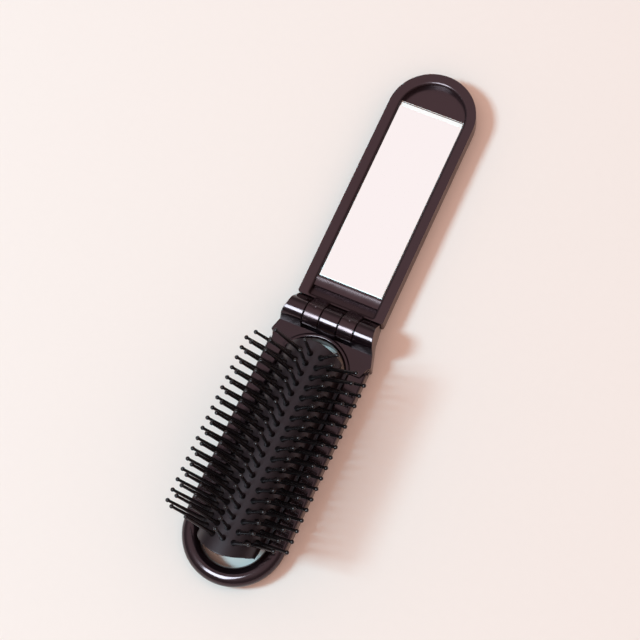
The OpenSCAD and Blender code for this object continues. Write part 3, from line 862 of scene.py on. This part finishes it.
def knuckle_with_dimple(bm, x):
    """Knuckle of the handle, with a round dimple on its crown, a little towards the handle."""
    size = body_mm("handle_knuckle")
    block = bmesh.new()
    knuckle(block, x, size, handle_knuckle_outline())
    tool = bmesh.new()
    bmesh.ops.create_icosphere(tool, subdivisions=3, radius=body_mm("dimple"))
    lean = Matrix.Rotation(math.radians(-25), 4, "X")
    deep = Vector((0, 0, body_mm("knuckle_radius") + body_mm("dimple") * 0.5))
    bmesh.ops.translate(tool, vec=Vector((x, 0, HINGE_Z)) + lean @ deep, verts=tool.verts[:])
    add_shell(bm, carved(block, tool))


def build_glass():
    """Plate of silvered glass with a narrow ground edge, and at its far end a ground bevel drawn white, which is partly
    a painted highlight, with a painted dark reflection line in it.
    """
    bm = bmesh.new()
    made = bmesh.ops.create_cube(bm, size=1)["verts"]
    size = GLASS_HIGH - GLASS_LOW
    bmesh.ops.scale(bm, vec=size, verts=made)
    bmesh.ops.translate(bm, vec=(GLASS_HIGH + GLASS_LOW) / 2 - Vector((0, HINGE_Y, 0)), verts=made)
    top = GLASS_HIGH.z
    for f in bm.faces:
        f.material_index = 0 if f.normal.z > 0.9 else 1
    far, bevel = GLASS_HIGH.y - HINGE_Y, body_mm("bevelled_end")
    line_near, line_far = body_mm("painted_reflection_line_near"), body_mm("painted_reflection_line_far")
    for back in (bevel, line_near, line_far):
        bmesh.ops.bisect_plane(bm, geom=bm.verts[:] + bm.edges[:] + bm.faces[:], plane_co=(0, far - back, 0),
                               plane_no=(0, 1, 0))
    for v in bm.verts:
        if v.co.z > top - 0.01:
            v.co.z -= BEVEL_SLOPE * max(0, v.co.y - far + bevel)
    # Bevel faces between the two line distances take the satin black: a painted dark reflection of the glass's edge.
    # The other bevel faces take the white ground finish, which is partly a painted highlight.
    for f in bm.faces:
        back = far - f.calc_center_median().y
        if f.material_index == 0 and back < bevel:
            f.material_index = 2 if line_far < back < line_near else 1
    ground = [e for e in bm.edges if len(e.link_faces) == 2 and all(v.co.z > top - 0.5 for v in e.verts)
              and e.calc_face_angle(0) > 1]
    bmesh.ops.bevel(bm, geom=ground, offset=body_mm("ground_edge"), offset_type="OFFSET", segments=2, profile=0.5,
                    affect="EDGES", material=1, clamp_overlap=True)
    obj = shaded_object(bm, "mirror_plate", [silvered_glass(), ground_glass_and_highlight(), satin_abs_and_painted_line()], 20)
    dress(obj, "mirror_half", "mirror", "mirror_glass")


# ---- stage ----

def build_floor():
    """Seamless pale paper under the brush."""
    bm = bmesh.new()
    bmesh.ops.create_grid(bm, x_segments=1, y_segments=1, size=2)
    mesh = bpy.data.meshes.new("paper_floor")
    bm.to_mesh(mesh)
    bm.free()
    mesh.materials.append(backdrop_paper())
    obj = bpy.data.objects.new("paper_floor", mesh)
    bpy.context.scene.collection.objects.link(obj)


def build_world():
    """Warm pale surroundings: dim for the diffuse light, pale behind, and in reflections pale overhead and dimmer to
    the sides."""
    world = bpy.data.worlds.new("studio")
    bpy.context.scene.world = world
    world.use_nodes = True
    tree = world.node_tree
    out = tree.nodes["World Output"]
    dim = tree.nodes["Background"]
    dim.inputs["Color"].default_value = (1, 0.68, 0.565, 1)
    dim.inputs["Strength"].default_value = 0.765
    place = add_node(tree, "ShaderNodeTexCoord").outputs["Generated"]
    height = add_node(tree, "ShaderNodeSeparateXYZ", links={"Vector": place})
    overhead = add_node(tree, "ShaderNodeMapRange",
                        {"interpolation_type": "SMOOTHSTEP", "From Min": 0.4, "From Max": 0.88,
                         "To Min": 0.32, "To Max": 1},
                        {"Value": height.outputs["Z"]})
    pale = (*linear("#fcf3f2"), 1)
    room = add_node(tree, "ShaderNodeBackground", {"Color": pale}, {"Strength": overhead.outputs["Result"]})
    seen = add_node(tree, "ShaderNodeBackground", {"Color": pale, "Strength": 1})
    ray = add_node(tree, "ShaderNodeLightPath")
    mix = dim
    for kind, source in (("Is Glossy Ray", room), ("Is Transmission Ray", seen), ("Is Camera Ray", seen)):
        mix = add_node(tree, "ShaderNodeMixShader",
                       links={0: ray.outputs[kind], 1: mix.outputs[0], 2: source.outputs[0]})
    tree.links.new(mix.outputs[0], out.inputs["Surface"])


def softbox(name, towards, distance, width, height, power, tint, lit=True, mirrored=True):
    """Area lamp in the direction of towards, turned to the brush. lit and mirrored say how it shows on surfaces."""
    lamp = bpy.data.lights.new(name, "AREA")
    lamp.shape = "RECTANGLE"
    lamp.size, lamp.size_y = width, height
    lamp.energy = power
    lamp.color = tint
    obj = bpy.data.objects.new(name, lamp)
    bpy.context.scene.collection.objects.link(obj)
    place = Vector(towards).normalized() * distance
    obj.location = place
    obj.rotation_euler = (-place).to_track_quat("-Z", "Y").to_euler()
    obj.visible_diffuse, obj.visible_glossy = lit, mirrored


def build_camera():
    """Camera fitted to the photograph by the pins and the mirror's corners."""
    camera = bpy.data.cameras.new("camera")
    camera.lens = 98.305
    camera.sensor_width = 36
    obj = bpy.data.objects.new("camera", camera)
    bpy.context.scene.collection.objects.link(obj)
    obj.location = (0.1451, -0.17052, 0.65004)
    obj.rotation_euler = tuple(math.radians(a) for a in (18.422, 5.893, 24.679))
    camera.clip_start = 0.01
    bpy.context.scene.camera = obj


# ---- operators ----

class HAIRBRUSH_OT_camera(bpy.types.Operator):
    """Add the camera at the photograph's angle"""
    bl_idname = "hairbrush.camera"
    bl_label = "Camera"

    def execute(self, context):
        build_camera()
        return {"FINISHED"}


class HAIRBRUSH_OT_frame(bpy.types.Operator):
    """Build the brush frame with its hoop, lip and knuckles, and the two clip strips"""
    bl_idname = "hairbrush.frame"
    bl_label = "Brush frame"

    def execute(self, context):
        build_frame()
        build_clip("rail_strip_left", -1)
        build_clip("rail_strip_right", 1)
        return {"FINISHED"}


class HAIRBRUSH_OT_pad(bpy.types.Operator):
    """Build the arched sheet of the pad and its two skirts"""
    bl_idname = "hairbrush.pad"
    bl_label = "Pad"

    def execute(self, context):
        build_sheet()
        build_skirt(-1)
        build_skirt(1)
        return {"FINISHED"}


class HAIRBRUSH_OT_pins(bpy.types.Operator):
    """Build the seven rows of ball-tipped pins"""
    bl_idname = "hairbrush.pins"
    bl_label = "Pins"

    def execute(self, context):
        for row in range(-3, 4):
            side = "left" if row < 0 else "right"
            build_row(f"pin_row_{side}_{abs(row)}" if row else "pin_row_middle", row)
        return {"FINISHED"}


class HAIRBRUSH_OT_handle(bpy.types.Operator):
    """Build the handle with its recess, ridge and knuckles"""
    bl_idname = "hairbrush.handle"
    bl_label = "Handle"

    def execute(self, context):
        build_handle()
        return {"FINISHED"}


class HAIRBRUSH_OT_mirror(bpy.types.Operator):
    """Build the mirror's glass and finish the tape under it and the hinge pin"""
    bl_idname = "hairbrush.mirror"
    bl_label = "Mirror"

    def execute(self, context):
        build_glass()
        for node, material in (("mirror_tape", tissue_tape()), ("hinge_pin", drawn_steel())):
            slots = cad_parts[node].data.materials
            slots.clear()
            slots.append(material)
        return {"FINISHED"}


class HAIRBRUSH_OT_stage(bpy.types.Operator):
    """Add the paper floor, the surroundings and the lamps"""
    bl_idname = "hairbrush.stage"
    bl_label = "Stage"

    def execute(self, context):
        build_floor()
        build_world()
        softbox("key_softbox", (-0.9, -0.42, 0.95), 3.0, 0.66, 0.66, 78, (0.46, 0.86, 1), mirrored=False)
        softbox("highlight_softbox", (-0.15, -0.48, 0.86), 1.2, 0.46, 0.56, 27, (0.63, 0.97, 1), lit=False)
        return {"FINISHED"}


OPERATORS = (HAIRBRUSH_OT_camera, HAIRBRUSH_OT_frame, HAIRBRUSH_OT_pad, HAIRBRUSH_OT_pins, HAIRBRUSH_OT_handle,
             HAIRBRUSH_OT_mirror, HAIRBRUSH_OT_stage)


class HAIRBRUSH_PT_panel(bpy.types.Panel):
    """Sizes, colours and steps of the hairbrush"""
    bl_idname = "HAIRBRUSH_PT_panel"
    bl_label = "Folding hairbrush"
    bl_space_type = "VIEW_3D"
    bl_region_type = "UI"
    bl_category = "Hairbrush"

    def draw(self, context):
        for name, group in GROUPS.items():
            box = self.layout.box()
            for prop in group.__annotations__:
                box.prop(getattr(context.scene, name), prop)
        for operator in OPERATORS:
            self.layout.operator(operator.bl_idname)


def register():
    for cls in (*GROUPS.values(), *OPERATORS, HAIRBRUSH_PT_panel):
        bpy.utils.register_class(cls)
    for name, group in GROUPS.items():
        setattr(bpy.types.Scene, name, bpy.props.PointerProperty(type=group))


def unregister():
    for name in GROUPS:
        delattr(bpy.types.Scene, name)
    for cls in reversed((*GROUPS.values(), *OPERATORS, HAIRBRUSH_PT_panel)):
        bpy.utils.unregister_class(cls)


def main():
    register()
    bpy.context.scene.view_settings.view_transform = "Standard"
    for step in ("camera", "frame", "pad", "pins", "handle", "mirror", "stage"):
        getattr(bpy.ops.hairbrush, step)()


if __name__ == "__main__":
    main()
